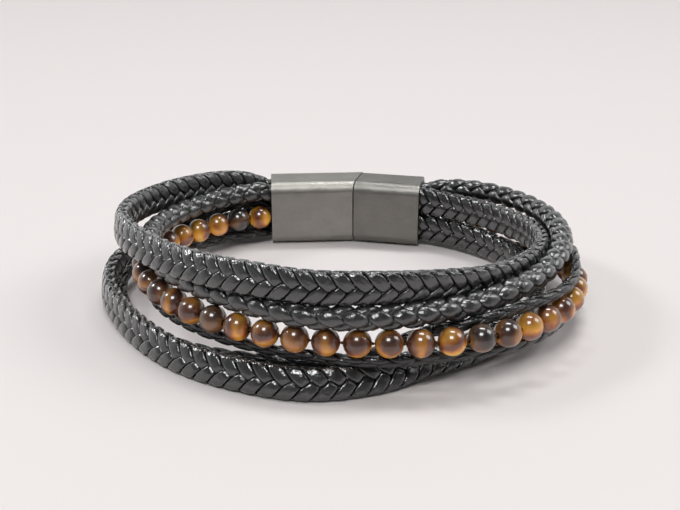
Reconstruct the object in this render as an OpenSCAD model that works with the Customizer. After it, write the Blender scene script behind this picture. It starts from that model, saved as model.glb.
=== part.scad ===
// Multi-strand leather bracelet with one row of small stone beads and a magnetic box clasp.
// The closed loop stands on its lower edge: wrist axis along +Z, clasp at the back (+Y).
// Two flat braids, one round braid, two thin leather cords and one beaded thread
// leave the clasp side by side and cross each other loosely on their way round.

/* [Clasp] */
// Height of the clasp, which stands on its long lower edge
clasp_height = 12; // [11.8:0.1:12.4]
// Thickness of the clasp from the wrist side to the outer side
clasp_depth = 8.2; // [8.2:0.1:8.6]
// Length of the long half, measured along its wrist side
long_length = 15.2; // [14:0.1:15.2]
// Length of the short half, measured along its wrist side
short_length = 12.3; // [11:0.1:12.3]
// Thickness of the metal around each mouth
clasp_wall = 0.9; // [0.7:0.1:0.9]
// Rounding of the long edges
clasp_round = 2; // [0.4:0.1:2]
// Depth of the mouth that the strands are glued into
mouth_depth = 5; // [4.5:0.1:6]

/* [Leather] */
// Width of the two flat braids
flat_width = 4.7; // [4.2:0.1:4.7]
// Thickness of the two flat braids
flat_thickness = 2.4; // [2:0.1:2.4]
// Diameter of the round braid
round_diameter = 3.3; // [2.8:0.1:3.4]
// Diameter of the two thin cords
cord_diameter = 1.6; // [1.2:0.1:1.8]

/* [Beads] */
// Diameter of a bead
bead_diameter = 4.2; // [3.8:0.1:4.2]
// Distance from one bead to the next along the thread
bead_pitch = 4.51; // [4.48:0.01:4.55]
// Diameter of the hole through a bead
hole_diameter = 1; // [1:0.05:1.2]
// Diameter of the thread that carries the beads
thread_diameter = 0.5; // [0.4:0.05:0.6]

/* [Hidden] */
bead_count = 40;
STRAND_NODES = ["clasp_long_half", "clasp_short_half",
                "flat_braid_upper", "flat_braid_lower", "round_braid",
                "thin_cord_upper", "thin_cord_lower", "bead_thread"];
function bead_name(number) = str("bead_", number < 10 ? "0" : "", number);

leather_black = [0.13, 0.13, 0.135];
steel_grey = [0.42, 0.43, 0.41];
stone_amber = [0.72, 0.42, 0.12];
thread_dark = [0.20, 0.14, 0.09];

eps = 0.01;
steps_per_turn = 96;                  // rings of a strand solid over its whole run
flat_sides = 14;
round_sides = 12;
cord_sides = 8;
thread_sides = 6;
thread_rings = 110;

// The strand tables are measured round the middle of the ring. It lies this far
// from the middle of the whole bracelet's box, which is the part's own origin.
ring_centre = [0.85, -3.75, 0];

// Clasp layout: the wrist side of each half runs from the seam along its own turn.
seam_corner = [1.8, 30.3];            // where both halves meet on the wrist side
long_turn = 3.4;
short_turn = -11.8;
seam_turn = -16;                      // slant of the parting plane
seam_gap = 0.2;
mouth_round = 0.5;
tongue_reach = 4.2;                   // tongue of the short half inside the long half
tongue_depth = 2.8;
tongue_height = 5.6;
tongue_gap = 0.15;
tongue_root = 2;

// Routes. Each row: [angle round the ring, distance from its middle, height, lean].
// Angles count anticlockwise from +X, so -249 is the clasp's long half and 65 its short
// half. A positive lean tips the top of a flat braid towards the wrist.
flat_upper_route = [
    [-254.6, 36.85, 8.55,   0], [-250.5, 37.6, 8.55,   0], [-247.3, 38.0,  8.7,   0],
    [-244.5, 38.25,  9.6,   0], [-240,   38.3, 10.8,   0],
    [-232,   38.2,  11.8,   0], [-220,   38.3, 12.5,   0],
    [-208,   38.4,  13.0,   0], [-196,   37.8, 13.7,   0], [-186,   36.8, 14.1,   5],
    [-175,   34.7,  14.8,  15], [-160,   31.6, 15.3,  25], [-140,   29.1, 16.0,  25],
    [-120,   28.1,  16.6,  15], [-100,   28.0, 16.5,   8], [ -80,   27.5, 16.1,   0],
    [ -60,   27.0,  14.9, -12], [ -40,  27.75, 13.3, -12], [ -20,  29.75, 12.1,  -5],
    [   0,   32.2,  11.0,   0], [  20,   33.7,  9.7,   0], [  40,   34.2,  8.7,   0],
    [  55,   33.8,   8.5,   0], [64.5,  33.25,  8.6,   0], [71.4,  32.55,  8.6,   0]];

flat_lower_route = [
    [-254.6, 36.85,  3.5,   0], [-248.8, 37.9,  3.5,   0], [-243,   38.6,  3.4,   0],
    [-232,   39.8,   3.0,   0], [-215,   41.6,  2.7,   0], [-200,   41.9,  2.6,   0],
    [-185,   39.6,   2.6,   5], [-170,   36.3,  2.5,  12], [-155,   33.9, 2.35,  18],
    [-140,   32.4,   2.3,  20], [-120,   30.9,  2.3,  20], [-100,   30.2, 2.25,  22],
    [ -80,   27.6,  2.05,  38], [ -65,   25.6,  1.9,  55], [ -50,   25.8,  1.9,  55],
    [ -35,   27.6,   2.3,  25], [ -20,   29.8,  2.6,  10], [   0,   32.2,  2.8,   0],
    [  20,   33.7,   3.0,   0], [  40,   34.2,  3.1,   0], [  55,   33.8,  3.3,   0],
    [64.5,  33.25,   3.5,   0], [71.4,  32.55,  3.5,   0]];

round_braid_route = [
    [-253.6, 33.8,   9.2,   0], [-249.5, 34.5,  9.2,   0], [-246.3, 34.95, 9.4,   0],
    [-243.5, 35.0,  10.0,   0],
    [-232,   35.0,  10.2,   0], [-220,   34.8, 10.3,   0], [-200,   33.6, 11.0,   0],
    [-180,   31.4,  12.0,   0], [-160,   29.7, 12.4,   0], [-140,   28.0, 12.5,   0],
    [-120,   27.8,  12.5,   0], [-100,   28.6, 12.3,   0], [ -80,   28.5, 12.0,   0],
    [ -60,   28.9, 11.75,   0], [ -50,   29.5, 11.6,   0], [ -40,   30.7, 11.9,   0],
    [ -20,   32.9,  12.0,   0], [   0,   35.4, 12.1,   0], [  20,   37.5, 11.9,   0],
    [  40,   39.0,  11.1,   0], [  52,   38.6, 10.7,   0], [  60,   37.7, 10.1,   0],
    [65.7,   36.3,   9.3,   0], [  72,  35.65,  9.2,   0]];

cord_upper_route = [
    [-253.8, 34.5,   6.4,   0], [-247.5, 35.6,  6.4,   0], [-243.5, 36.4,  7.3,   0],
    [-235,   37.0,   7.4,   0], [-220,   37.3,  7.0,   0], [-210,   37.4,  6.3,   0],
    [-200,   38.2,   4.3,   0], [-190,   38.2,  2.4,   0], [-180,   36.2,  1.4,   0],
    [-160,   32.3,   1.6,   0], [-140,   29.6,  2.6,   0], [-120,   27.3,  3.3,   0],
    [-100,   26.0,   3.5,   0], [ -80,   25.4,  5.0,   0], [ -68,   26.8,  7.6,   0],
    [ -60,   28.8,   8.8,   0], [ -55,   30.1,  9.2,   0], [ -50,   31.6, 10.0,   0],
    [ -45,   32.7,  10.4,   0], [ -40,   33.6, 10.6,   0], [ -20,   36.8, 10.3,   0],
    [  -5,   37.3,  10.2,   0], [   5,   37.8,  9.8,   0], [  15,   37.5,  9.15,   0],
    [  25,   37.2,  8.95,   0], [  40,   37.1,  8.5,   0], [  52,   36.9,  8.0,   0],
    [  60,   36.2,   7.7,   0], [65.7,   35.9,  6.5,   0], [  72,   35.3,  6.5,   0]];

cord_lower_route = [
    [-253.6, 33.9,   1.9,   0], [-247.3, 34.9,  1.9,   0], [-243,   34.4,  1.8,   0],
    [-232,   35.6,   2.1,   0], [-220,   34.7,  2.6,   0], [-200,   33.0,  3.9,   0],
    [-180,   31.9,   5.0,   0], [-160,   30.4,  5.5,   0], [-140,   28.8,  5.7,   0],
    [-120,   27.8,   5.7,   0], [-100,  27.5, 5.45,   0], [ -80,   28.8, 5.15,   0],
    [ -60,   30.4,   5.1,   0], [ -40,   34.0,  4.8,   0], [ -20,   36.0,  4.2,   0],
    [   0,   38.0,   3.7,   0], [  20,   39.2,  2.9,   0], [  40,   39.0,  2.2,   0],
    [  58,   36.8,   1.9,   0], [65.7,   36.0,  1.9,   0], [  72,   35.4,  1.9,   0]];

thread_route = [
    [-253.4, 33.0,   4.9,   0], [-248.5, 33.7,  4.9,   0], [-245.5, 33.8,  5.1,   0],
    [-242,   33.8,   5.4,   0], [-237,   33.8,  5.7,   0], [-232,   33.8,  5.8,   0],
    [-220,   34.0,  5.9,   0], [-200,   33.6,  7.0,   0],
    [-180,   32.7,   8.2,   0], [-160,   31.0,   8.7,   0], [-140,   29.6,  8.85,   0],
    [-120,   28.7,   8.75,   0], [-100,  28.4,  8.4,   0], [ -80,   29.1,  8.2,   0],
    [ -60,   32.3,   8.3,   0], [ -50,   34.0,  8.15,   0], [ -40,  35.0,  7.8,   0],
    [ -30,   36.0,   7.5,   0], [ -20,   36.9,   7.3,   0], [ -10,   37.3,  7.2,   0],
    [  -3,   37.5,   7.0,   0], [   5,   37.3,  6.6,   0], [  15,   37.5,  6.1,   0],
    [  30,   38.4,   6.0,   0], [  45,   38.7,  5.6,   0], [  52,   38.4,  5.2,   0],
    [  58,   37.8,   4.9,   0], [  62,   37.2,  4.7,   0],
    [65.7,   36.6,   4.5,   0], [  72,   35.9,  4.5,   0]];

first_bead_at = 6.6;                  // along the thread, from its end in the long half

// A route is read through its rows with a smooth curve: each row's slope is that
// between its two neighbours.
function row_slope(route, i) =
    let (before = max(i - 1, 0), after = min(i + 1, len(route) - 1))
    (route[after] - route[before]) / (route[after][0] - route[before][0]);

function row_before(route, angle, i = 0) =
    i >= len(route) - 2 || angle < route[i + 1][0] ? i : row_before(route, angle, i + 1);

function route_row(route, angle) =
    let (i = row_before(route, angle),
         span = route[i + 1][0] - route[i][0],
         u = (angle - route[i][0]) / span,
         from_row = 2 * pow(u, 3) - 3 * pow(u, 2) + 1,
         from_slope = pow(u, 3) - 2 * pow(u, 2) + u,
         to_slope = pow(u, 3) - pow(u, 2))
    from_row * route[i] + from_slope * span * row_slope(route, i)
        + (1 - from_row) * route[i + 1] + to_slope * span * row_slope(route, i + 1);

function route_point(route, angle) =
    let (row = route_row(route, angle))
    [row[1] * cos(angle), row[1] * sin(angle), row[2]];

function unit(v) = v / norm(v);

function route_direction(route, angle) =
    let (step = 0.2)
    unit(route_point(route, angle + step) - route_point(route, angle - step));

// The ring of section points at one angle, an oval that leans with the table.
function strand_ring(route, angle, wide, thick, sides) =
    let (centre = route_point(route, angle),
         ahead = route_direction(route, angle),
         outward = unit([ahead[1], -ahead[0], 0]),
         upward = cross(outward, ahead),
         lean = route_row(route, angle)[3],
         across = upward * cos(lean) - outward * sin(lean),
         through = outward * cos(lean) + upward * sin(lean))
    [for (k = [0 : sides - 1])
        let (turn = 360 * k / sides)
        centre + across * wide / 2 * cos(turn) + through * thick / 2 * sin(turn)];

// One closed solid swept along a route.
module strand(route, wide, thick, sides, rings) {
    first = route[0][0];
    last = route[len(route) - 1][0];
    points = [for (r = [0 : rings - 1])
        each strand_ring(route, first + (last - first) * r / (rings - 1), wide, thick, sides)];
    side_faces = [for (r = [0 : rings - 2], k = [0 : sides - 1], half = [0, 1])
        let (a = r * sides + k, b = r * sides + (k + 1) % sides)
        half == 0 ? [a, b + sides, b] : [a, a + sides, b + sides]];
    start_face = [for (k = [0 : sides - 1]) k];
    end_face = [for (k = [sides - 1 : -1 : 0]) (rings - 1) * sides + k];
    polyhedron(points = points, faces = concat(side_faces, [start_face, end_face]));
}

// A rectangle with round corners, its lower left corner at the origin.
module rounded_rectangle(size, radius) {
    translate([radius, 0]) square([size[0] - 2 * radius, size[1]]);
    translate([0, radius]) square([size[0], size[1] - 2 * radius]);
    for (x = [radius, size[0] - radius], y = [radius, size[1] - radius])
        translate([x, y]) circle(r = radius, $fn = 48);
}

// A bar along +X with a rounded section: depth along +Y, height along +Z.
module rounded_bar(length, depth, height, radius) {
    rotate([90, 0, 90]) linear_extrude(length) rounded_rectangle([depth, height], radius);
}

// Half space beyond the slanted parting plane, on the short half's side.
module beyond_seam(gap) {
    reach = 40;
    translate([seam_corner[0], seam_corner[1], -reach / 2])
        rotate([0, 0, seam_turn])
            translate([gap, -reach / 2, 0]) cube([reach, reach, 2 * reach]);
}

module mouth(length_inside) {
    translate([0, clasp_wall, clasp_wall])
        rounded_bar(length_inside, clasp_depth - 2 * clasp_wall,
                    clasp_height - 2 * clasp_wall, mouth_round);
}

// The tongue block, drawn in the long half's own frame and grown by a clearance.
module tongue(gap) {
    seam_at = long_length;
    translate([seam_at - tongue_reach - gap,
               (clasp_depth - tongue_depth) / 2 - gap,
               (clasp_height - tongue_height) / 2 - gap])
        cube([tongue_reach + tongue_root + 2 * gap,
              tongue_depth + 2 * gap,
              tongue_height + 2 * gap]);
}

module long_half_frame() {
    translate([seam_corner[0], seam_corner[1], 0])
        rotate([0, 0, long_turn]) translate([-long_length, 0, 0]) children();
}

module clasp_long_half() {
    overrun = 6;                      // the bar runs on past the seam and is cut there
    color(steel_grey) translate(ring_centre) difference() {
        long_half_frame() rounded_bar(long_length + overrun, clasp_depth, clasp_height, clasp_round);
        beyond_seam(-seam_gap / 2);
        long_half_frame() translate([-eps, 0, 0]) mouth(mouth_depth);
        long_half_frame() tongue(tongue_gap);
    }
}

module clasp_short_half() {
    overrun = 6;
    color(steel_grey) translate(ring_centre) union() {
        difference() {
            intersection() {
                translate([seam_corner[0], seam_corner[1], 0])
                    rotate([0, 0, short_turn]) translate([-overrun, 0, 0])
                        rounded_bar(short_length + overrun, clasp_depth, clasp_height, clasp_round);
                beyond_seam(seam_gap / 2);
            }
            translate([seam_corner[0], seam_corner[1], 0])
                rotate([0, 0, short_turn]) translate([short_length - mouth_depth, 0, 0])
                    mouth(mouth_depth + eps);
        }
        long_half_frame() tongue(0);
    }
}

module flat_braid_upper() {
    color(leather_black) translate(ring_centre)
        strand(flat_upper_route, flat_width, flat_thickness, flat_sides, steps_per_turn);
}

module flat_braid_lower() {
    color(leather_black) translate(ring_centre)
        strand(flat_lower_route, flat_width, flat_thickness, flat_sides, steps_per_turn);
}

module round_braid() {
    color(leather_black) translate(ring_centre)
        strand(round_braid_route, round_diameter, round_diameter, round_sides, steps_per_turn);
}

module thin_cord_upper() {
    color(leather_black) translate(ring_centre)
        strand(cord_upper_route, cord_diameter, cord_diameter, cord_sides, steps_per_turn);
}

module thin_cord_lower() {
    color(leather_black) translate(ring_centre)
        strand(cord_lower_route, cord_diameter, cord_diameter, cord_sides, steps_per_turn);
}

module bead_thread() {
    color(thread_dark) translate(ring_centre)
        strand(thread_route, thread_diameter, thread_diameter, thread_sides, thread_rings);
}

// Length run along the thread at each of its angles, to place the beads evenly.
thread_first = thread_route[0][0];
thread_last = thread_route[len(thread_route) - 1][0];
thread_samples = 400;
thread_points = [for (i = [0 : thread_samples])
    route_point(thread_route, thread_first + (thread_last - thread_first) * i / thread_samples)];
thread_run = [for (i = 0, run = 0; i <= thread_samples;
                   run = run + (i < thread_samples ? norm(thread_points[i + 1] - thread_points[i]) : 0),
                   i = i + 1)
    [run, thread_first + (thread_last - thread_first) * i / thread_samples]];

// A round bead drilled along the thread; number 1 sits next to the long half.
module bead(number) {
    angle = lookup(first_bead_at + (number - 1) * bead_pitch, thread_run);
    ahead = route_direction(thread_route, angle);
    tilt = acos(ahead[2]);
    heading = atan2(ahead[1], ahead[0]);
    color(stone_amber) translate(ring_centre + route_point(thread_route, angle))
        rotate([0, tilt, heading]) difference() {
            sphere(d = bead_diameter, $fn = 48);
            cylinder(d = hole_diameter, h = bead_diameter + 1, center = true, $fn = 32);
        }
}

clasp_long_half();
clasp_short_half();
flat_braid_upper();
flat_braid_lower();
round_braid();
thin_cord_upper();
thin_cord_lower();
bead_thread();
for (number = [1 : bead_count])
    bead(number);
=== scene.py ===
import bmesh
import bpy
import numpy as np
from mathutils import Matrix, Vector


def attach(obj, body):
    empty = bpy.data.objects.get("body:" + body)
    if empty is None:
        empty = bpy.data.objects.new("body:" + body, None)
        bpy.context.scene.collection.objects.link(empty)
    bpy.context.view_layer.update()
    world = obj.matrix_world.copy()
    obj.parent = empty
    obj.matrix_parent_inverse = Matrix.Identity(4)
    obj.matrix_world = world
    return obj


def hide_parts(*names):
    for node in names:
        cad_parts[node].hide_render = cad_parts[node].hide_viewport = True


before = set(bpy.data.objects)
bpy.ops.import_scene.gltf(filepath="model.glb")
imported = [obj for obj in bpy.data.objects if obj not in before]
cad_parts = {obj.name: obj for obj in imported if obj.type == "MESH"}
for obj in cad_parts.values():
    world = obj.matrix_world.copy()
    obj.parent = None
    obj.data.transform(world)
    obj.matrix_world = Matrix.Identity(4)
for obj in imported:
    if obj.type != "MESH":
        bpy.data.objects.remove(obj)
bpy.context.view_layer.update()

# Camera: a little above table height, looking at the front of the loop with the clasp behind.
MM = 0.001
CAMERA_PLACE_MM = (0.22, -185.0, 84.47)
CAMERA_DOWN_DEG = 22.33
LENS_MM = 63.53
SENSOR_MM = 36
NEAREST_MM = 10

camera = bpy.data.objects.new("camera", bpy.data.cameras.new("camera"))
bpy.context.scene.collection.objects.link(camera)
camera.location = [v * MM for v in CAMERA_PLACE_MM]
camera.rotation_euler = (np.radians(90 - CAMERA_DOWN_DEG), 0, 0)
camera.data.lens = LENS_MM
camera.data.sensor_width = SENSOR_MM
camera.data.clip_start = NEAREST_MM * MM
bpy.context.scene.camera = camera

# Magnetic box clasp, two halves milled from stainless steel with a slanted parting line,
# given a gunmetal coating and brushed along their length. The strands are glued into
# a mouth at each outer end. The solids stay, with their edges broken by a fine chamfer.
# The long half is a shade lighter. Brush lines are drawn twice as coarse as real, to show.
GUNMETALS = {"clasp_long_half": ("#8F8D88", "#A5A39D"),
             "clasp_short_half": ("#7C7A76", "#918F8A")}
EDGE_BREAK_MM = 0.3
EDGE_FROM_DEG = 40
JOIN_WITHIN_MM = 0.001
BRUSH_WIDTH_MM = 0.09
BRUSH_LENGTH_MM = 3.0
BRUSH_DEPTH_MM = 0.03
BRUSHED_ROUGHNESS = (0.42, 0.56)
SMEARS_PER_M = 260.0
SMEAR_DEPTH_MM = 0.22


def linear(colour):
    """A hex colour as linear red, green, blue and full alpha."""
    parts = [int(colour[i:i + 2], 16) / 255 for i in (1, 3, 5)]
    return [c / 12.92 if c <= 0.04045 else ((c + 0.055) / 1.055) ** 2.4 for c in parts] + [1.0]


def add_node(owner, kind, inputs, stops=(), **settings):
    """Adds a node to a material or the world; each input is a value or the output that feeds it.

    The stops of a colour ramp are pairs of position and hex colour.
    """
    tree = owner.node_tree
    node = tree.nodes.new(kind)
    for setting, value in settings.items():
        setattr(node, setting, value)
    for socket, value in inputs.items():
        if isinstance(value, bpy.types.NodeSocket):
            tree.links.new(value, node.inputs[socket])
        else:
            node.inputs[socket].default_value = value
    for place, colour in stops[2:]:
        node.color_ramp.elements.new(place)
    if stops:
        for element, (place, colour) in zip(node.color_ramp.elements, sorted(stops)):
            element.position = place
            element.color = linear(colour)
    return node


def new_material(name):
    """A node material with no nodes yet."""
    material = bpy.data.materials.new(name)
    material.use_nodes = True
    material.node_tree.nodes.clear()
    return material


def brushed_gunmetal(name, plain, worn):
    """Coated stainless steel with long fine brush lines: a dull grey with a soft wide glint."""
    material = new_material(name)
    place = add_node(material, "ShaderNodeTexCoord", {}).outputs["Object"]
    stretch = (1 / (BRUSH_LENGTH_MM * MM), 1 / (BRUSH_LENGTH_MM * MM), 1 / (BRUSH_WIDTH_MM * MM))
    along = add_node(material, "ShaderNodeMapping", {"Vector": place, "Scale": stretch})
    lines = add_node(material, "ShaderNodeTexNoise",
                     {"Vector": along.outputs[0], "Scale": 1.0, "Detail": 3.0, "Roughness": 0.6})
    clouds = add_node(material, "ShaderNodeTexNoise",
                      {"Vector": place, "Scale": SMEARS_PER_M, "Detail": 4.0, "Roughness": 0.6})
    both = add_node(material, "ShaderNodeMath",
                    {0: lines.outputs["Fac"], 1: clouds.outputs["Fac"]}, operation="ADD")
    tone = add_node(material, "ShaderNodeMath", {0: both.outputs[0], 1: 0.5},
                    operation="MULTIPLY")
    colour = add_node(material, "ShaderNodeValToRGB", {0: tone.outputs[0]},
                      stops=[(0.3, plain), (0.75, worn)])
    smooth, coarse = BRUSHED_ROUGHNESS
    rough = add_node(material, "ShaderNodeMapRange",
                     {0: lines.outputs["Fac"], 1: 0.3, 2: 0.7, 3: smooth, 4: coarse})
    smears = add_node(material, "ShaderNodeBump",
                      {"Height": clouds.outputs["Fac"], "Strength": 1.0,
                       "Distance": SMEAR_DEPTH_MM * MM})
    bump = add_node(material, "ShaderNodeBump",
                    {"Height": lines.outputs["Fac"], "Strength": 0.25,
                     "Distance": BRUSH_DEPTH_MM * MM, "Normal": smears.outputs[0]})
    shader = add_node(material, "ShaderNodeBsdfPrincipled",
                      {"Base Color": colour.outputs[0], "Roughness": rough.outputs[0],
                       "Metallic": 1.0, "Normal": bump.outputs[0]})
    add_node(material, "ShaderNodeOutputMaterial", {"Surface": shader.outputs[0]})
    return material


for name, (plain, worn) in GUNMETALS.items():
    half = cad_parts[name]
    half.data.materials.clear()
    half.data.materials.append(brushed_gunmetal("brushed_gunmetal_" + name, plain, worn))
    weld = half.modifiers.new("join faces", "WELD")
    weld.merge_threshold = JOIN_WITHIN_MM * MM
    edge_break = half.modifiers.new("broken edges", "BEVEL")
    edge_break.width = EDGE_BREAK_MM * MM
    edge_break.segments = 3
    edge_break.limit_method = "ANGLE"
    edge_break.angle_limit = np.radians(EDGE_FROM_DEG)
    half.data.polygons.foreach_set("use_smooth", np.ones(len(half.data.polygons), bool))
    half.modifiers.new("flat faces stay flat", "WEIGHTED_NORMAL").weight = 100

# Flat braids: two black cowhide plaits of five strips each. Every strip runs over two
# and under two, and folds round the edge, which gives the two rows of scales on each
# face and the roped upper and lower edges. Each plait is glued into both clasp mouths.
# The lower plait's own weight presses its lowest strips flat on the table: what lies below
# a certain height is squeezed to two thirds of its depth.
FLAT_WIDTH_MM = 5.1
FLAT_THICKNESS_MM = 2.6
FLAT_STRIP_THICKNESS_MM = 0.9
PRESSED_BELOW_MM = 0.6
PRESSED_TO = 0.67
FLAT_PITCH_AND_START_MM = {"flat_braid_upper": (2.5, 1.28), "flat_braid_lower": (2.6, 0.7)}
RING_CENTRE_MM = (0.85, -3.75, 0)
# Rows: angle round the ring, distance from its middle, height, lean of the flat face.
# The solids follow the same rows.
FLAT_UPPER_ROUTE = [
    [-254.6, 36.85, 8.55, 0], [-250.5, 37.6, 8.55, 0], [-247.3, 38.0, 8.7, 0],
    [-244.5, 38.25, 9.6, 0], [-240, 38.3, 10.8, 0], [-232, 38.2, 11.8, 0],
    [-220, 38.3, 12.5, 0], [-208, 38.4, 13.0, 0], [-196, 37.8, 13.7, 0],
    [-186, 36.8, 14.1, 5], [-175, 34.7, 14.8, 15], [-160, 31.6, 15.3, 25],
    [-140, 29.1, 16.0, 25], [-120, 28.1, 16.6, 15], [-100, 28.0, 16.5, 8],
    [-80, 27.5, 16.1, 0], [-60, 27.0, 14.9, -12], [-40, 27.75, 13.3, -12],
    [-20, 29.75, 12.1, -5], [0, 32.2, 11.0, 0], [20, 33.7, 9.7, 0],
    [40, 34.2, 8.7, 0], [55, 33.8, 8.5, 0], [64.5, 33.25, 8.6, 0], [71.4, 32.55, 8.6, 0]]
FLAT_LOWER_ROUTE = [
    [-254.6, 36.85, 3.5, 0], [-248.8, 37.9, 3.5, 0], [-243, 38.6, 3.4, 0],
    [-232, 39.8, 3.0, 0], [-215, 41.6, 2.7, 0], [-200, 41.9, 2.6, 0],
    [-185, 39.6, 2.6, 5], [-170, 36.3, 2.5, 12], [-155, 33.9, 2.35, 18],
    [-140, 32.4, 2.3, 20], [-120, 30.9, 2.3, 20], [-100, 30.2, 2.25, 22],
    [-80, 27.6, 2.05, 38], [-65, 25.6, 1.9, 55], [-50, 25.8, 1.9, 55],
    [-35, 27.6, 2.3, 25], [-20, 29.8, 2.6, 10], [0, 32.2, 2.8, 0],
    [20, 33.7, 3.0, 0], [40, 34.2, 3.1, 0], [55, 33.8, 3.3, 0],
    [64.5, 33.25, 3.5, 0], [71.4, 32.55, 3.5, 0]]


def route_rows(route, angles):
    """Rows of a route at these angles; each row's slope is that between its two neighbours."""
    rows = np.array(route, float)
    knots = rows[:, 0]
    number = np.arange(len(rows))
    before = np.maximum(number - 1, 0)
    after = np.minimum(number + 1, len(rows) - 1)
    slopes = (rows[after] - rows[before]) / (knots[after] - knots[before])[:, None]
    i = np.clip(np.searchsorted(knots, angles, side="right") - 1, 0, len(rows) - 2)
    span = knots[i + 1] - knots[i]
    u = ((angles - knots[i]) / span)[:, None]
    span = span[:, None]
    from_row = 2 * u ** 3 - 3 * u ** 2 + 1
    return (from_row * rows[i] + (u ** 3 - 2 * u ** 2 + u) * span * slopes[i]
            + (1 - from_row) * rows[i + 1] + (u ** 3 - u ** 2) * span * slopes[i + 1])


def strand_line(route):
    """A strand's middle line: run along it, places, and the directions across and through it."""
    angles = np.linspace(route[0][0], route[-1][0], 4000)
    rows = route_rows(route, angles)
    turn = np.radians(angles)
    places = np.stack([rows[:, 1] * np.cos(turn), rows[:, 1] * np.sin(turn), rows[:, 2]], -1)
    ahead = np.gradient(places, axis=0)
    ahead /= np.linalg.norm(ahead, axis=1)[:, None]
    outward = np.stack([ahead[:, 1], -ahead[:, 0], np.zeros(len(ahead))], -1)
    outward /= np.linalg.norm(outward, axis=1)[:, None]
    upward = np.cross(outward, ahead)
    lean = np.radians(rows[:, 3])[:, None]
    across = upward * np.cos(lean) - outward * np.sin(lean)
    through = outward * np.cos(lean) + upward * np.sin(lean)
    steps = np.linalg.norm(np.diff(places, axis=0), axis=1)
    run = np.concatenate([[0.0], np.cumsum(steps)])
    return {"run": run, "place": places + np.array(RING_CENTRE_MM),
            "across": across, "through": through}


def on_strand(line, run, across, through):
    """Places in millimetres from the run along a strand and the offsets in its section."""
    def read(key):
        return np.stack([np.interp(run, line["run"], line[key][:, k]) for k in range(3)], -1)
    return (read("place") + read("across") * across[..., None]
            + read("through") * through[..., None])


def strip_section(points, squareness):
    """Unit outline of a cut strip: side and height from -1 to 1, flat faces and rounded corners."""
    turn = np.linspace(0, 2 * np.pi, points, endpoint=False)
    side = np.sign(np.cos(turn)) * np.abs(np.cos(turn)) ** squareness
    height = np.sign(np.sin(turn)) * np.abs(np.sin(turn)) ** squareness
    return side, height


def strand_piece(name, strips, material, node, fold=None):
    """One mesh of closed strips, each a grid of rings by section points, riding on the part.

    The strip_lap attribute runs along and across each strip in millimetres, and strip_fold
    says how near a fold the strip is.
    """
    strip_apart = 7.0
    vertices, faces, laps, folds = [], [], [], []
    for number, grid in enumerate(strips):
        under = np.maximum(PRESSED_BELOW_MM - grid[..., 2], 0)
        grid[..., 2] += (1 - PRESSED_TO) * under
        rings, sides = grid.shape[:2]
        first = len(vertices)
        vertices.extend(grid.reshape(-1, 3) * MM)
        index = first + np.arange(rings * sides).reshape(rings, sides)
        near, far = index[:-1], index[1:]
        quads = np.stack([near, np.roll(near, -1, 1), np.roll(far, -1, 1), far], -1)
        faces.extend(quads.reshape(-1, 4).tolist())
        faces.append(index[0, ::-1].tolist())
        faces.append(index[-1].tolist())
        length = np.linalg.norm(np.diff(grid.mean(1), axis=0), axis=1)
        along = np.concatenate([[0.0], np.cumsum(length)])
        beside = np.linalg.norm(grid - grid[:, :1], axis=2)
        laps.append(np.stack(np.broadcast_arrays(along[:, None], beside, strip_apart * number), -1))
        folds.append(np.zeros(grid.shape[:2]) if fold is None else fold[number])
    mesh = bpy.data.meshes.new(name)
    mesh.from_pydata(vertices, [], faces)
    shell = bmesh.new()
    shell.from_mesh(mesh)
    bmesh.ops.recalc_face_normals(shell, faces=shell.faces)
    shell.to_mesh(mesh)
    shell.free()
    mesh.polygons.foreach_set("use_smooth", np.ones(len(mesh.polygons), bool))
    lap = mesh.attributes.new("strip_lap", "FLOAT_VECTOR", "POINT")
    lap_values = np.concatenate([part.ravel() for part in laps])
    lap.data.foreach_set("vector", lap_values.astype(np.float32))
    edge = mesh.attributes.new("strip_fold", "FLOAT", "POINT")
    edge_values = np.concatenate([part.ravel() for part in folds])
    edge.data.foreach_set("value", edge_values.astype(np.float32))
    mesh.materials.append(material)
    piece = bpy.data.objects.new(name, mesh)
    bpy.context.scene.collection.objects.link(piece)
    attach(piece, "root")
    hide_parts(node)
    return piece


def thicken(middle, side, height, half_thickness):
    """Closed strip round a sheet: middle(side) gives the sheet, rounded off by the section."""
    sheet = middle(side)
    step = 0.02
    sideways = middle(side + step) - middle(side - step)
    forward = np.gradient(sheet, axis=0)
    normal = np.cross(sideways, forward)
    normal /= np.linalg.norm(normal, axis=-1)[..., None]
    return sheet + normal * (height * half_thickness)[None, :, None]


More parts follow.
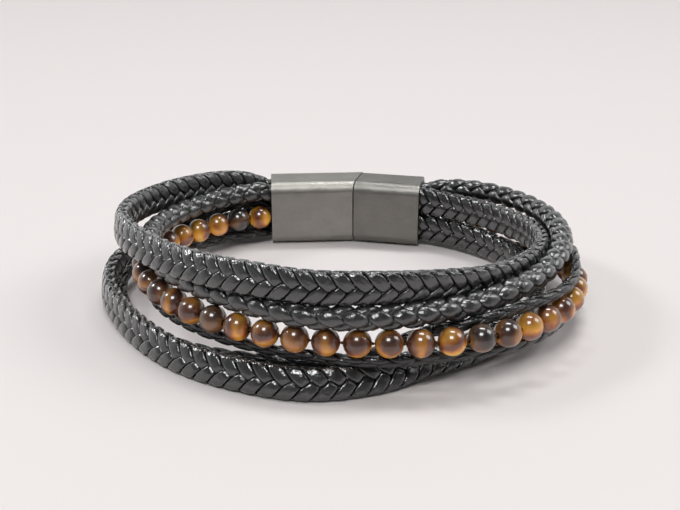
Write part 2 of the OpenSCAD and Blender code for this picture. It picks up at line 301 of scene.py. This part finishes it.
def plait(line, pitch, start, width, thickness, strip_thickness, strip_count=5, cover=0.495,
          third=0.02, fifth=-0.045, snap=4.5, edge_snap=0.95, bulge=0.25, oval=0.75,
          squareness=0.48, pinch=0.08, linger=0.6, fold_spread=1.2, rings_per_crossing=5,
          section_points=18):
    """Strips of a flat plait, counted by the crossings they have passed.

    Each crosses half of a face steeply, dips under in the middle and folds round the edge.
    The third and fifth waves straighten its path across the face, snap is how sharply it
    dips, and pinch and oval narrow it and thin it away from the fold.
    """
    total = line["run"][-1]
    half_lay = pitch / 2
    reach = (width - strip_thickness) / 2
    depth = (thickness - strip_thickness) / 2
    side, height = strip_section(section_points, squareness)
    half_turn = strip_count / 2
    strips, folds = [], []
    for number in range(strip_count):
        first = 2 * number + 2 * cover - start / half_lay
        crossings = total / half_lay - 4 * cover
        even = np.linspace(first, first + crossings, int(crossings * rings_per_crossing))
        passed = even - linger * half_turn / (2 * np.pi) * np.sin(2 * np.pi * even / half_turn)

        def middle(offset, passed=passed, number=number):
            """Sheet of one strip, its width given by the offset from -1 to 1."""
            at_edge = np.abs(np.cos(np.pi * passed / strip_count)) ** fold_spread
            beside = cover * (1 - pinch * (1 - at_edge))[:, None] * offset[None, :]
            phase = np.pi * (passed[:, None] + beside) / strip_count
            run = start + half_lay * (passed[:, None] - 2 * number - beside)
            share = np.cos(phase) + third * np.cos(3 * phase) + fifth * np.cos(5 * phase)
            share /= 1 + third + fifth
            across = reach * share + bulge * offset ** 2 * share ** 3
            steepness = snap * (1 - at_edge) + edge_snap * at_edge
            weave = np.tanh(steepness * np.sin(np.pi * passed / half_turn))
            through = depth * weave[:, None] * np.sqrt(1 - oval * np.minimum(np.abs(share) ** 3, 1))
            return on_strand(line, run, across, through)

        strips.append(thicken(middle, side, height, strip_thickness / 2))
        phase = np.pi * (passed[:, None] + cover * side[None, :]) / strip_count
        folds.append(np.abs(np.cos(phase)))
    return strips, folds


def black_cowhide(name, dark, light, rough, grain_mm=0.2, wax=1.0, wax_rough=0.14):
    """Dyed cowhide strip under hard wax: near black, with a fine grain.

    The wax gives it a grey shine, which breaks up where the strip creases at a fold.
    The grain is drawn twice as coarse as real grain, so that it shows.
    """
    wear_patches_per_m = 900.0
    dents_per_m = 1100.0
    dent_depth_mm = 0.12
    crease_length_mm = 2.0
    creases_per_mm = 2.6
    crease_depth_mm = 0.24
    grain_depth_mm = 0.03
    material = new_material(name)
    place = add_node(material, "ShaderNodeTexCoord", {}).outputs["Object"]
    lap = add_node(material, "ShaderNodeAttribute", {}, attribute_name="strip_lap")
    fold = add_node(material, "ShaderNodeAttribute", {}, attribute_name="strip_fold")
    grain = add_node(material, "ShaderNodeTexVoronoi",
                     {"Vector": place, "Scale": 1 / (grain_mm * MM)}, feature="SMOOTH_F1")
    wear = add_node(material, "ShaderNodeTexNoise",
                    {"Vector": place, "Scale": wear_patches_per_m, "Detail": 5.0,
                     "Roughness": 0.65})
    dents = add_node(material, "ShaderNodeTexNoise",
                     {"Vector": place, "Scale": dents_per_m, "Detail": 2.0})
    creased = add_node(material, "ShaderNodeMapRange",
                       {0: fold.outputs["Fac"], 1: 0.55, 2: 0.98, 3: 0.0, 4: 1.0},
                       interpolation_type="SMOOTHSTEP")
    along_strip = add_node(material, "ShaderNodeMapping",
                           {"Vector": lap.outputs["Vector"],
                            "Scale": (1 / crease_length_mm, creases_per_mm, 1)})
    creases = add_node(material, "ShaderNodeTexNoise",
                       {"Vector": along_strip.outputs[0], "Scale": 1.0, "Detail": 1.5,
                        "Roughness": 0.5, "Distortion": 0.3})
    from_middle = add_node(material, "ShaderNodeMath", {0: creases.outputs["Fac"], 1: 0.5},
                           operation="SUBTRACT")
    ridge = add_node(material, "ShaderNodeMath", {0: from_middle.outputs[0]},
                     operation="ABSOLUTE")
    crease = add_node(material, "ShaderNodeMath", {0: ridge.outputs[0], 1: creased.outputs[0]},
                      operation="MULTIPLY")
    colour = add_node(material, "ShaderNodeValToRGB", {0: wear.outputs["Fac"]},
                      stops=[(0.3, dark), (0.72, light)])
    rubbed = add_node(material, "ShaderNodeMapRange",
                      {0: creased.outputs[0], 3: rough + 0.06, 4: rough - 0.08})
    uneven = add_node(material, "ShaderNodeMapRange",
                      {0: wear.outputs["Fac"], 1: 0.3, 2: 0.7, 3: -0.05, 4: 0.07})
    roughness = add_node(material, "ShaderNodeMath",
                         {0: rubbed.outputs[0], 1: uneven.outputs[0]}, operation="ADD")
    crease_bump = add_node(material, "ShaderNodeBump",
                           {"Height": crease.outputs[0], "Strength": 1.0,
                            "Distance": crease_depth_mm * MM})
    dent_bump = add_node(material, "ShaderNodeBump",
                         {"Height": dents.outputs["Fac"], "Strength": 1.0,
                          "Distance": dent_depth_mm * MM, "Normal": crease_bump.outputs[0]})
    grain_bump = add_node(material, "ShaderNodeBump",
                          {"Height": grain.outputs["Distance"], "Strength": 0.7,
                           "Distance": grain_depth_mm * MM, "Normal": dent_bump.outputs[0]})
    shader = add_node(material, "ShaderNodeBsdfPrincipled",
                      {"Base Color": colour.outputs[0], "Roughness": roughness.outputs[0],
                       "IOR": 1.5, "Normal": grain_bump.outputs[0],
                       "Coat Weight": wax, "Coat IOR": 1.7, "Coat Roughness": wax_rough,
                       "Coat Normal": grain_bump.outputs[0]})
    add_node(material, "ShaderNodeOutputMaterial", {"Surface": shader.outputs[0]})
    return material


flat_leather = black_cowhide("black_cowhide_flat_plait", "#0B0C0D", "#1C1D20", 0.28)
for node, route in (("flat_braid_upper", FLAT_UPPER_ROUTE), ("flat_braid_lower", FLAT_LOWER_ROUTE)):
    pitch, start = FLAT_PITCH_AND_START_MM[node]
    strips, folds = plait(strand_line(route), pitch, start, FLAT_WIDTH_MM, FLAT_THICKNESS_MM,
                          FLAT_STRIP_THICKNESS_MM)
    strand_piece(node + "_plait", strips, flat_leather, node, folds)

# Round braid: four black cowhide strips braided over one and under one round a thin core,
# which shows as two rows of leaf shapes from any side. It lies below the upper flat braid.
# Its strips are rounder than the flat ones, and their wax is duller.
ROUND_DIAMETER_MM = 3.85
ROUND_LEAF_PITCH_MM = 3.45
ROUND_STRIP_THICKNESS_MM = 1.2
ROUND_STRIP_WIDTH_MM = 2.3
ROUND_TURNED_DEG = -75
ROUND_BRAID_ROUTE = [
    [-253.6, 33.8, 9.2, 0], [-249.5, 34.5, 9.2, 0], [-246.3, 34.95, 9.4, 0],
    [-243.5, 35.0, 10.0, 0], [-232, 35.0, 10.2, 0], [-220, 34.8, 10.3, 0],
    [-200, 33.6, 11.0, 0], [-180, 31.4, 12.0, 0], [-160, 29.7, 12.4, 0],
    [-140, 28.0, 12.5, 0], [-120, 27.8, 12.5, 0], [-100, 28.6, 12.3, 0],
    [-80, 28.5, 12.0, 0], [-60, 28.9, 11.75, 0], [-50, 29.5, 11.6, 0],
    [-40, 30.7, 11.9, 0], [-20, 32.9, 12.0, 0], [0, 35.4, 12.1, 0],
    [20, 37.5, 11.9, 0], [40, 39.0, 11.1, 0], [52, 38.6, 10.7, 0],
    [60, 37.7, 10.1, 0], [65.7, 36.3, 9.3, 0], [72, 35.65, 9.2, 0]]


def round_braid(line, diameter, pitch, strip_thickness, strip_width, turned_deg,
                rings_per_mm=3.2, section_points=14, squareness=0.7, bunching=0.3, dip=2.2,
                sink_share=0.8, core_share=0.35):
    """Strips and core of a round braid: two strips wind each way, over one and under one.

    Bunching draws their crossings together, and dip is how shortly a strip lies below.
    """
    total = line["run"][-1]
    lay = 2 * pitch
    outer = (diameter - strip_thickness) / 2
    sink = strip_thickness * sink_share
    side, height = strip_section(section_points, squareness)
    strips = []
    run = np.linspace(strip_width, total - strip_width, int(total * rings_per_mm))
    for way in (1, -1):
        for number in range(2):
            def middle(offset, way=way, number=number):
                """Sheet of one strip, its width laid square to its path."""
                turn = 2 * np.pi * run / lay
                base = way * turn + np.pi * number
                turned = base - bunching * np.sin(2 * turn)
                radius = outer - sink * (0.5 - 0.5 * way * np.cos(2 * base)) ** dip
                rate = np.gradient(turned, run) * outer
                slope = np.arctan(rate)
                beside = offset * strip_width / 2
                place = run[:, None] - beside[None, :] * np.sin(slope)[:, None]
                angle = turned[:, None] + beside[None, :] * np.cos(slope)[:, None] / outer
                angle = angle + np.radians(turned_deg)
                out = np.broadcast_to(radius[:, None], angle.shape)
                return on_strand(line, place, out * np.sin(angle), out * np.cos(angle))
            strips.append(thicken(middle, side, height, strip_thickness / 2))
    turn = np.linspace(0, 2 * np.pi, section_points, endpoint=False)
    core_run = np.broadcast_to(run[:, None], (len(run), section_points))
    core_across = np.broadcast_to(core_share * diameter * np.cos(turn), core_run.shape)
    core_through = np.broadcast_to(core_share * diameter * np.sin(turn), core_run.shape)
    strips.append(on_strand(line, core_run, core_across, core_through))
    return strips


round_leather = black_cowhide("black_cowhide_round_braid", "#0B0C0D", "#17181B", 0.26,
                              wax_rough=0.24)
strips = round_braid(strand_line(ROUND_BRAID_ROUTE), ROUND_DIAMETER_MM, ROUND_LEAF_PITCH_MM,
                     ROUND_STRIP_THICKNESS_MM, ROUND_STRIP_WIDTH_MM, ROUND_TURNED_DEG)
strand_piece("round_braid_plait", strips, round_leather, "round_braid")

# Thin cords: two cords of three narrow black strips plaited tightly, so that one long
# flat segment after another shows. One lies above the beads, the other under them.
# They have little wax, so they stay darker than the braids.
CORD_DIAMETER_MM = 1.75
CORD_SEGMENT_MM = 3.6
CORD_STRIP_THICKNESS_MM = 0.75
CORD_UPPER_ROUTE = [
    [-253.8, 34.5, 6.4, 0], [-247.5, 35.6, 6.4, 0], [-243.5, 36.4, 7.3, 0],
    [-235, 37.0, 7.4, 0], [-220, 37.3, 7.0, 0], [-210, 37.4, 6.3, 0],
    [-200, 38.2, 4.3, 0], [-190, 38.2, 2.4, 0], [-180, 36.2, 1.4, 0],
    [-160, 32.3, 1.6, 0], [-140, 29.6, 2.6, 0], [-120, 27.3, 3.3, 0],
    [-100, 26.0, 3.5, 0], [-80, 25.4, 5.0, 0], [-68, 26.8, 7.6, 0],
    [-60, 28.8, 8.8, 0], [-55, 30.1, 9.2, 0], [-50, 31.6, 10.0, 0],
    [-45, 32.7, 10.4, 0], [-40, 33.6, 10.6, 0], [-20, 36.8, 10.3, 0],
    [-5, 37.3, 10.2, 0], [5, 37.8, 9.8, 0], [15, 37.5, 9.15, 0],
    [25, 37.2, 8.95, 0], [40, 37.1, 8.5, 0], [52, 36.9, 8.0, 0],
    [60, 36.2, 7.7, 0], [65.7, 35.9, 6.5, 0], [72, 35.3, 6.5, 0]]
CORD_LOWER_ROUTE = [
    [-253.6, 33.9, 1.9, 0], [-247.3, 34.9, 1.9, 0], [-243, 34.4, 1.8, 0],
    [-232, 35.6, 2.1, 0], [-220, 34.7, 2.6, 0], [-200, 33.0, 3.9, 0],
    [-180, 31.9, 5.0, 0], [-160, 30.4, 5.5, 0], [-140, 28.8, 5.7, 0],
    [-120, 27.8, 5.7, 0], [-100, 27.5, 5.45, 0], [-80, 28.8, 5.15, 0],
    [-60, 30.4, 5.1, 0], [-40, 34.0, 4.8, 0], [-20, 36.0, 4.2, 0],
    [0, 38.0, 3.7, 0], [20, 39.2, 2.9, 0], [40, 39.0, 2.2, 0],
    [58, 36.8, 1.9, 0], [65.7, 36.0, 1.9, 0], [72, 35.4, 1.9, 0]]

cord_leather = black_cowhide("black_cowhide_thin_cord", "#090A0B", "#131416", 0.3,
                             grain_mm=0.14, wax=0.4)
for node, route in (("thin_cord_upper", CORD_UPPER_ROUTE), ("thin_cord_lower", CORD_LOWER_ROUTE)):
    strips, folds = plait(strand_line(route), CORD_SEGMENT_MM, 0, CORD_DIAMETER_MM,
                          CORD_DIAMETER_MM, CORD_STRIP_THICKNESS_MM, strip_count=3, cover=0.56,
                          third=0, fifth=0, snap=2.0, edge_snap=1.5, bulge=0, oval=0.6,
                          squareness=0.5, pinch=0, section_points=12)
    strand_piece(node + "_plait", strips, cord_leather, node, folds)

# Bead thread: two plies of dark waxed polyester twisted together. It carries the beads
# and shows only in the gaps between them. Its fibres are drawn five times as coarse as
# real ones, so that they show.
THREAD_DIAMETER_MM = 0.5
THREAD_TWIST_MM = 1.4
FIBRES_PER_M = 9000.0
FIBRE_DEPTH_MM = 0.03
THREAD_ROUTE = [
    [-253.4, 33.0, 4.9, 0], [-248.5, 33.7, 4.9, 0], [-245.5, 33.8, 5.1, 0],
    [-242, 33.8, 5.4, 0], [-237, 33.8, 5.7, 0], [-232, 33.8, 5.8, 0],
    [-220, 34.0, 5.9, 0], [-200, 33.6, 7.0, 0], [-180, 32.7, 8.2, 0],
    [-160, 31.0, 8.7, 0], [-140, 29.6, 8.85, 0], [-120, 28.7, 8.75, 0],
    [-100, 28.4, 8.4, 0], [-80, 29.1, 8.2, 0], [-60, 32.3, 8.3, 0],
    [-50, 34.0, 8.15, 0], [-40, 35.0, 7.8, 0], [-30, 36.0, 7.5, 0],
    [-20, 36.9, 7.3, 0], [-10, 37.3, 7.2, 0], [-3, 37.5, 7.0, 0],
    [5, 37.3, 6.6, 0], [15, 37.5, 6.1, 0], [30, 38.4, 6.0, 0],
    [45, 38.7, 5.6, 0], [52, 38.4, 5.2, 0], [58, 37.8, 4.9, 0],
    [62, 37.2, 4.7, 0], [65.7, 36.6, 4.5, 0], [72, 35.9, 4.5, 0]]


def twisted_thread(line, plies, diameter, twist, cut_back=0.1, rings_per_twist=10,
                   section_points=8):
    """Round plies wound side by side round the middle line."""
    ply_radius = diameter / 4
    total = line["run"][-1]
    run = np.linspace(cut_back, total - cut_back, int(total / twist * rings_per_twist))
    turn = np.linspace(0, 2 * np.pi, section_points, endpoint=False)
    strips = []
    for ply in range(plies):
        wound = 2 * np.pi * (run / twist + ply / plies)
        across = ply_radius * (np.cos(wound)[:, None] + np.cos(turn)[None, :])
        through = ply_radius * (np.sin(wound)[:, None] + np.sin(turn)[None, :])
        place = np.broadcast_to(run[:, None], across.shape)
        strips.append(on_strand(line, place, across, through))
    return strips


def waxed_polyester():
    """Waxed polyester thread: dark brown, slightly glossy, with fibres along the twist."""
    material = new_material("waxed_polyester_thread")
    place = add_node(material, "ShaderNodeTexCoord", {}).outputs["Object"]
    fibres = add_node(material, "ShaderNodeTexNoise",
                      {"Vector": place, "Scale": FIBRES_PER_M, "Detail": 2.0})
    colour = add_node(material, "ShaderNodeValToRGB", {0: fibres.outputs["Fac"]},
                      stops=[(0.3, "#2B2018"), (0.7, "#4A3828")])
    bump = add_node(material, "ShaderNodeBump",
                    {"Height": fibres.outputs["Fac"], "Strength": 0.4,
                     "Distance": FIBRE_DEPTH_MM * MM})
    shader = add_node(material, "ShaderNodeBsdfPrincipled",
                      {"Base Color": colour.outputs[0], "Roughness": 0.55, "IOR": 1.5,
                       "Normal": bump.outputs[0]})
    add_node(material, "ShaderNodeOutputMaterial", {"Surface": shader.outputs[0]})
    return material


plies = twisted_thread(strand_line(THREAD_ROUTE), 2, THREAD_DIAMETER_MM, THREAD_TWIST_MM)
strand_piece("bead_thread_twist", plies, waxed_polyester(), "bead_thread")

# Beads: forty 4.2 mm balls of tiger's-eye, a fibrous quartz in bands of gold and brown,
# # drilled through and polished. The drilled solids stay; each takes one of five tones and
# # one of three turns of the bands, with a painted glow in its lower half and painted shade at its
# top.
# Letters from the clasp's long half: g gold, a amber, c chestnut, b brown, d near black.
BEAD_TONES = "gdagaabcbbbbccdacbccccgdbgaagaacbgacabga"
TONES = {
    "g": ("#6A3008", "#BC6E10", "#E8A62E"),
    "a": ("#5A2A08", "#A2560E", "#D8962C"),
    "c": ("#4A1F08", "#7E4212", "#C0802C"),
    "b": ("#371806", "#633212", "#A26826"),
    "d": ("#190E09", "#362016", "#704C2B"),
}
TURNS = 3
# At a scale of 1 the wave texture draws 20 / (2 pi) bands to the metre, so these are 3.3 mm wide.
BAND_SCALE = 95.0
CLOUDS_PER_M = 420.0
# Painted light in the beads: the colour is multiplied by the first factor below where the surface
# faces down, a painted glow, and by the second where it faces up, painted shade; the last value
# caps the result.
PAINTED_GLOW_BELOW = 1.4
PAINTED_SHADE_ABOVE = 0.4
LIGHTEST = 0.95


def tigers_eye(tone, number):
    """Polished tiger's-eye: silky bands of fibre under a glassy surface.

    Its colour is scaled by which way the surface faces: a painted glow in the lower half
    and painted shade at the top stand in for light that the stone lets in from above.
    """
    dark, middle, light = TONES[tone]
    material = new_material(f"polished_tigers_eye_{tone}_{number}")
    place = add_node(material, "ShaderNodeTexCoord", {}).outputs["Object"]
    tilt = (0.4 + 1.1 * number, 0.9 * number, 0.3 + 1.7 * number)
    turned = add_node(material, "ShaderNodeMapping", {"Vector": place, "Rotation": tilt})
    bands = add_node(material, "ShaderNodeTexWave",
                     {"Vector": turned.outputs[0], "Scale": BAND_SCALE, "Distortion": 5.0,
                      "Detail": 3.0, "Detail Scale": 1.6})
    clouds = add_node(material, "ShaderNodeTexNoise",
                      {"Vector": turned.outputs[0], "Scale": CLOUDS_PER_M, "Detail": 3.0})
    mixed = add_node(material, "ShaderNodeMix",
                     {0: 0.45, 2: bands.outputs["Fac"], 3: clouds.outputs["Fac"]})
    colour = add_node(material, "ShaderNodeValToRGB", {0: mixed.outputs[0]},
                      stops=[(0.25, dark), (0.5, middle), (0.75, light)])
    # Painted glow below and painted shade on top: the colour is scaled by how far the surface faces
    # up.
    normal = add_node(material, "ShaderNodeNewGeometry", {}).outputs["Normal"]
    facing_up = add_node(material, "ShaderNodeSeparateXYZ", {0: normal}).outputs["Z"]
    painted_light_factor = add_node(material, "ShaderNodeMapRange",
                    {0: facing_up, 1: -0.5, 2: 0.75, 3: PAINTED_GLOW_BELOW, 4: PAINTED_SHADE_ABOVE},
                    interpolation_type="SMOOTHSTEP")
    painted_light_colour = add_node(material, "ShaderNodeVectorMath",
                       {0: colour.outputs[0], 3: painted_light_factor.outputs[0]}, operation="SCALE")
    kept = add_node(material, "ShaderNodeVectorMath",
                    {0: painted_light_colour.outputs[0], 1: (LIGHTEST, LIGHTEST, LIGHTEST)},
                    operation="MINIMUM")
    shader = add_node(material, "ShaderNodeBsdfPrincipled",
                      {"Base Color": kept.outputs[0], "Roughness": 0.35, "IOR": 1.5,
                       "Coat Weight": 1.0, "Coat Roughness": 0.02, "Coat IOR": 1.6})
    add_node(material, "ShaderNodeOutputMaterial", {"Surface": shader.outputs[0]})
    return material


stones = {(tone, number): tigers_eye(tone, number) for tone in TONES for number in range(TURNS)}
for number, tone in enumerate(BEAD_TONES):
    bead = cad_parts[f"bead_{number + 1:02d}"]
    bead.data.materials.clear()
    bead.data.materials.append(stones[tone, number % TURNS])
    bead.data.polygons.foreach_set("use_smooth", np.ones(len(bead.data.polygons), bool))

# Floor: a plain pale matt table top, not part of the bracelet.
FLOOR_REACH_M = 3
floor_mesh = bpy.data.meshes.new("floor")
floor_corners = [(x * FLOOR_REACH_M, y * FLOOR_REACH_M, 0)
                 for x, y in ((-1, -1), (1, -1), (1, 1), (-1, 1))]
floor_mesh.from_pydata(floor_corners, [], [(0, 1, 2, 3)])
floor = bpy.data.objects.new("floor", floor_mesh)
bpy.context.scene.collection.objects.link(floor)
floor_paint = new_material("pale_matt_floor")
floor_shader = add_node(floor_paint, "ShaderNodeBsdfPrincipled",
                        {"Base Color": linear("#CCC7C6"), "Roughness": 0.8})
add_node(floor_paint, "ShaderNodeOutputMaterial", {"Surface": floor_shader.outputs[0]})
floor_mesh.materials.append(floor_paint)

# Lamps, all aimed at the bracelet: a small one on the left for sharp glints on the folds,
# a wide one on the right that softens the shadows, a softbox in front and above for the
# upper folds and the beads, and one behind for the upper edges.
# Name, place in metres, length and width in metres, power in watts.
LAMPS = [("left_window", (-0.95, 0.28, 0.82), 0.24, 0.24, 5.0),
         ("right_window", (0.95, 0.1, 0.9), 0.6, 0.6, 6.5),
         ("front_softbox", (-0.1, -0.42, 0.64), 0.3, 0.26, 3.1),
         ("back_softbox", (0.05, 0.22, 0.78), 0.4, 0.12, 2.8)]
for name, place, length, width, power in LAMPS:
    lamp = bpy.data.objects.new(name, bpy.data.lights.new(name, "AREA"))
    lamp.data.shape = "RECTANGLE"
    lamp.data.size = length
    lamp.data.size_y = width
    lamp.data.energy = power
    lamp.location = place
    bpy.context.scene.collection.objects.link(lamp)
    lamp.rotation_euler = (-Vector(place)).to_track_quat("-Z", "Y").to_euler()

# The room round the table: bright at the horizon and darker overhead, and brighter behind
# the bracelet than in front. The picture shows these tones as they are, with no film curve.
ROOM_TONES = [(0.0, "#FFFFFF"), (0.4, "#D0D0D0"), (0.65, "#505050")]
ROOM_IN_FRONT = 0.3
ROOM_BEHIND = 1.2

world = bpy.data.worlds.new("soft_room")
world.use_nodes = True
world.node_tree.nodes.clear()
direction = add_node(world, "ShaderNodeTexCoord", {}).outputs["Generated"]
height = add_node(world, "ShaderNodeSeparateXYZ", {0: direction}).outputs["Z"]
room = add_node(world, "ShaderNodeValToRGB", {0: height}, stops=ROOM_TONES)
towards_back = add_node(world, "ShaderNodeSeparateXYZ", {0: direction}).outputs["Y"]
strength = add_node(world, "ShaderNodeMapRange",
                    {0: towards_back, 1: -0.8, 2: 0.8, 3: ROOM_IN_FRONT, 4: ROOM_BEHIND})
background = add_node(world, "ShaderNodeBackground",
                      {"Color": room.outputs[0], "Strength": strength.outputs[0]})
add_node(world, "ShaderNodeOutputWorld", {"Surface": background.outputs[0]})
bpy.context.scene.world = world
bpy.context.scene.view_settings.view_transform = "Standard"
